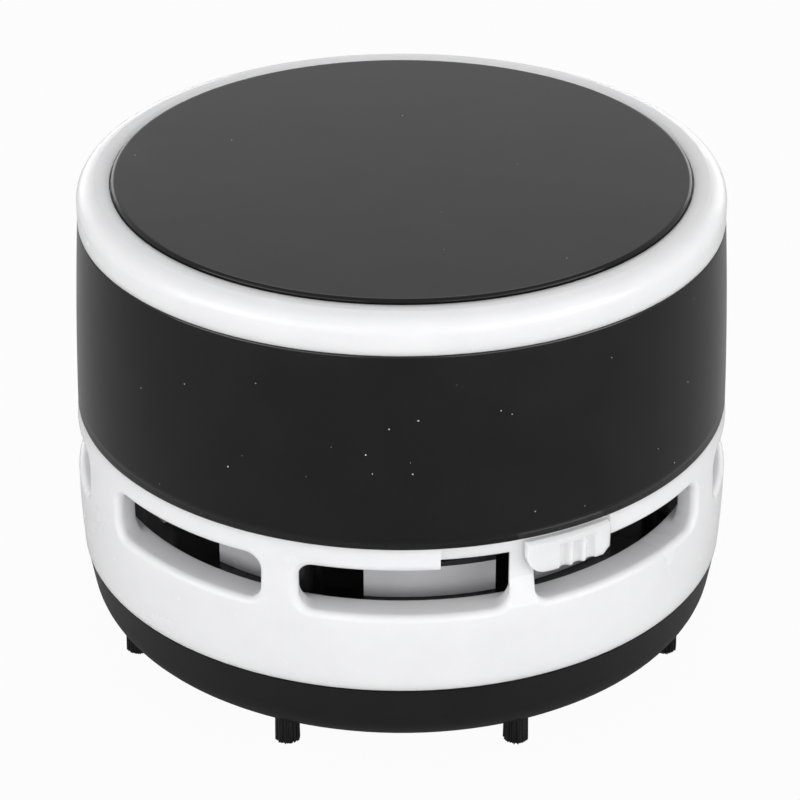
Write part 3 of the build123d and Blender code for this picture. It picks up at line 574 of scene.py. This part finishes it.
def trim_band():
    """The glossy band, swelling a little, with a rounded upper edge."""
    bottom, top = band_low.z, band_high.z
    skin = []
    for step in range(band_steps + 1):
        share = step / band_steps * (1 - band_edge / (top - bottom))
        swell = band_bulge * (1 - (2 * share - 1) ** 2)
        skin.append((band_foot - band_inset * share + swell, bottom + share * (top - bottom)))
    profile = skin[:-1] + rounded(skin[-1][0], top, band_edge)
    profile += [(band_foot - band_inset - band_wall, top), (band_foot - band_wall, bottom)]
    turned("band", profile, "trim_band", "main_body", finishes["gloss_black"], hollow=True)


top_disc()
trim_band()


# ---------------------------------------------------------------- floor, light and camera
def seen(tree):
    """1 for rays that come from the camera, a mirror or a lens."""
    path = tree.nodes.new("ShaderNodeLightPath")
    total = path.outputs["Is Camera Ray"]
    for ray in ("Is Glossy Ray", "Is Transmission Ray"):
        either = tree.nodes.new("ShaderNodeMath")
        either.operation = "MAXIMUM"
        tree.links.new(total, either.inputs[0])
        tree.links.new(path.outputs[ray], either.inputs[1])
        total = either.outputs[0]
    return total


def make_world():
    """Plain white surroundings, which light the object less than they show."""
    world = bpy.data.worlds.new("studio")
    bpy.context.scene.world = world
    world.use_nodes = True
    tree = world.node_tree
    backdrop = tree.nodes["Background"]
    strength = tree.nodes.new("ShaderNodeMapRange")
    tree.links.new(seen(tree), strength.inputs["Value"])
    strength.inputs["To Min"].default_value = sky_light
    strength.inputs["To Max"].default_value = sky_seen
    tree.links.new(strength.outputs["Result"], backdrop.inputs["Strength"])
    backdrop.inputs["Color"].default_value = (1, 1, 1, 1)


def make_floor():
    """A wide pale floor that keeps the object's shadow."""
    data = bpy.data.meshes.new("floor")
    corners = [(x * floor_half, y * floor_half, 0) for x, y in ((-1, -1), (1, -1), (1, 1), (-1, 1))]
    data.from_pydata(corners, [], [(0, 1, 2, 3)])
    floor = bpy.data.objects.new("floor", data)
    bpy.context.scene.collection.objects.link(floor)
    material = bpy.data.materials.new("floor")
    material.use_nodes = True
    tree = material.node_tree
    plain = tree.nodes["Principled BSDF"]
    plain.inputs["Base Color"].default_value = grey(floor_level)
    plain.inputs["Roughness"].default_value = 0.9
    glow = tree.nodes.new("ShaderNodeEmission")
    glow.inputs["Strength"].default_value = 1.0
    share = tree.nodes.new("ShaderNodeMath")
    share.operation = "MULTIPLY"
    share.inputs[1].default_value = floor_white
    path = tree.nodes.new("ShaderNodeLightPath")
    tree.links.new(path.outputs["Is Camera Ray"], share.inputs[0])
    mix = tree.nodes.new("ShaderNodeMixShader")
    tree.links.new(share.outputs[0], mix.inputs["Fac"])
    tree.links.new(plain.outputs[0], mix.inputs[1])
    tree.links.new(glow.outputs[0], mix.inputs[2])
    tree.links.new(mix.outputs[0], tree.nodes["Material Output"].inputs["Surface"])
    data.materials.append(material)


def softbox(name, azimuth, elevation, power):
    """A square soft light that faces the object; azimuth 0 is in front of it, 90 to its right."""
    data = bpy.data.lights.new(name, "AREA")
    data.shape = "SQUARE"
    data.size = lamp_size
    data.energy = power
    lamp = bpy.data.objects.new(name, data)
    turn, rise = math.radians(azimuth), math.radians(elevation)
    way = Vector((math.sin(turn) * math.cos(rise), -math.cos(turn) * math.cos(rise), math.sin(rise)))
    lamp.location = camera_target + way * lamp_distance
    lamp.rotation_euler = way.to_track_quat("Z", "Y").to_euler()
    bpy.context.scene.collection.objects.link(lamp)


def make_camera():
    """The camera at the photograph's viewing angle."""
    data = bpy.data.cameras.new("camera")
    data.sensor_width = camera_sensor
    data.lens = camera_lens
    data.shift_x, data.shift_y = camera_shift
    data.clip_start = camera_near
    camera = bpy.data.objects.new("camera", data)
    rise = math.radians(camera_elevation)
    way = Vector((0, -math.cos(rise), math.sin(rise)))
    camera.location = camera_target + way * camera_distance
    camera.rotation_euler = way.to_track_quat("Z", "Y").to_euler()
    bpy.context.scene.collection.objects.link(camera)
    bpy.context.scene.camera = camera


make_world()
make_floor()
for lamp in lamps:
    softbox(*lamp)
make_camera()
bpy.context.scene.view_settings.view_transform = "Standard"
